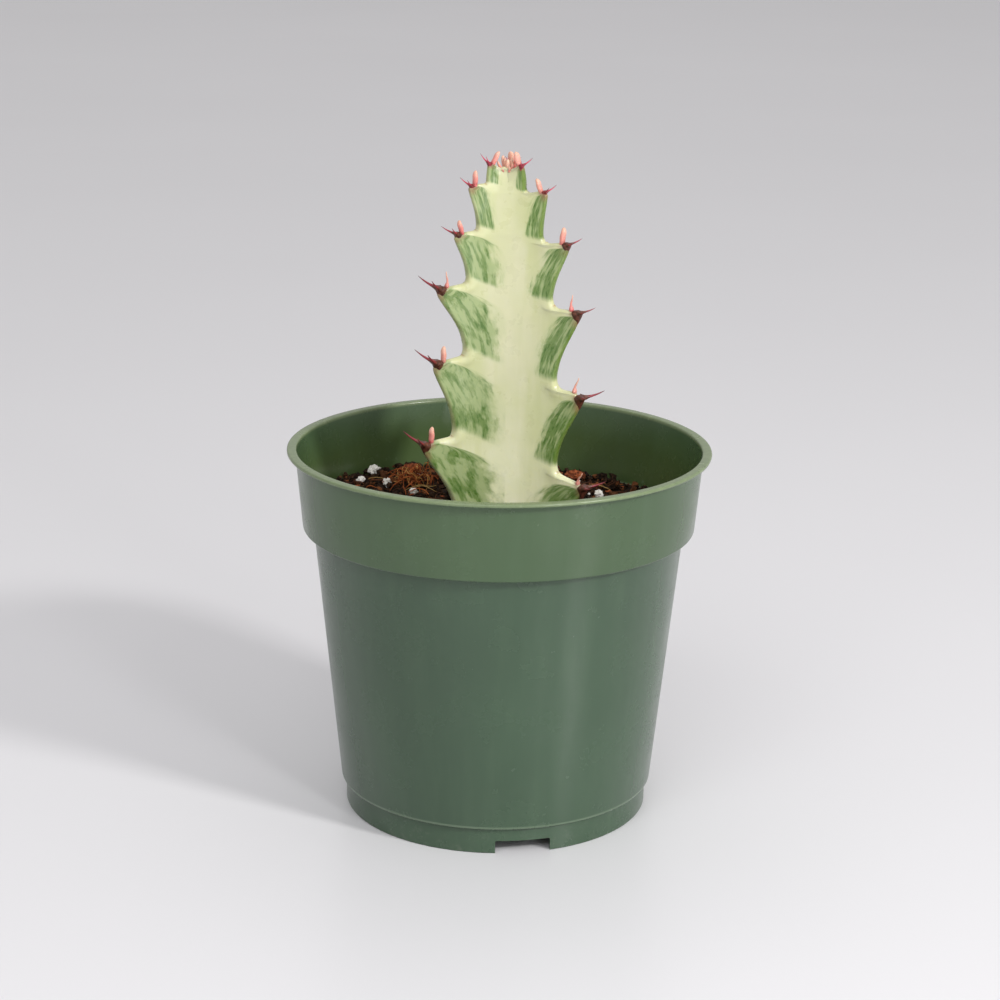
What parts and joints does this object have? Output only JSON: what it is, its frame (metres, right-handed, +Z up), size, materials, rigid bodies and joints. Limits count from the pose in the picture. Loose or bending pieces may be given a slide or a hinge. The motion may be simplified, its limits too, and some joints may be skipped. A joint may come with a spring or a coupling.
{
  "type": "potted euphorbia",
  "caption": "Young three-ribbed variegated euphorbia with toothed, spined ribs and small pink leaves, rooted in potting mix in a round plastic nursery pot.",
  "frame": {"origin": "middle of the pot's foot, on the surface that the pot stands on", "axes": "+Z up along the pot's axis and the stem, -Y the front that shows two ribs side by side, +X the right"},
  "size_m": [0.108, 0.108, 0.171],
  "materials": {
    "pot_plastic": "satin",
    "potting_mix": "matte",
    "stem_skin": "satin",
    "spine_horn": "satin",
    "leaf_flesh": "satin",
    "perlite": "matte",
    "bark": "matte"
  },
  "bodies": {
    "root": {"nursery_pot": "pot_plastic", "potting_mix": "potting_mix", "stem": "stem_skin", "spine_pair_right_1": "spine_horn", "leaf_right_1": "leaf_flesh", "spine_pair_right_2": "spine_horn", "leaf_right_2": "leaf_flesh", "spine_pair_right_3": "spine_horn", "leaf_right_3": "leaf_flesh", "spine_pair_right_4": "spine_horn", "leaf_right_4": "leaf_flesh", "spine_pair_right_5": "spine_horn", "leaf_right_5": "leaf_flesh", "spine_pair_right_6": "spine_horn", "leaf_right_6": "leaf_flesh", "spine_pair_back_1": "spine_horn", "leaf_back_1": "leaf_flesh", "spine_pair_back_2": "spine_horn", "leaf_back_2": "leaf_flesh", "spine_pair_back_3": "spine_horn", "leaf_back_3": "leaf_flesh", "spine_pair_back_4": "spine_horn", "leaf_back_4": "leaf_flesh", "spine_pair_back_5": "spine_horn", "leaf_back_5": "leaf_flesh", "spine_pair_back_6": "spine_horn", "leaf_back_6": "leaf_flesh", "spine_pair_left_1": "spine_horn", "leaf_left_1": "leaf_flesh", "spine_pair_left_2": "spine_horn", "leaf_left_2": "leaf_flesh", "spine_pair_left_3": "spine_horn", "leaf_left_3": "leaf_flesh", "spine_pair_left_4": "spine_horn", "leaf_left_4": "leaf_flesh", "spine_pair_left_5": "spine_horn", "leaf_left_5": "leaf_flesh", "spine_pair_left_6": "spine_horn", "leaf_left_6": "leaf_flesh", "tip_leaf_1": "leaf_flesh", "tip_leaf_2": "leaf_flesh", "tip_leaf_3": "leaf_flesh", "perlite_grain_1": "perlite", "perlite_grain_2": "perlite", "perlite_grain_3": "perlite", "perlite_grain_4": "perlite", "perlite_grain_5": "perlite", "perlite_grain_6": "perlite", "perlite_grain_7": "perlite", "perlite_grain_8": "perlite", "bark_chip_1": "bark", "bark_chip_2": "bark", "bark_chip_3": "bark", "bark_chip_4": "bark"}
  },
  "joints": []
}
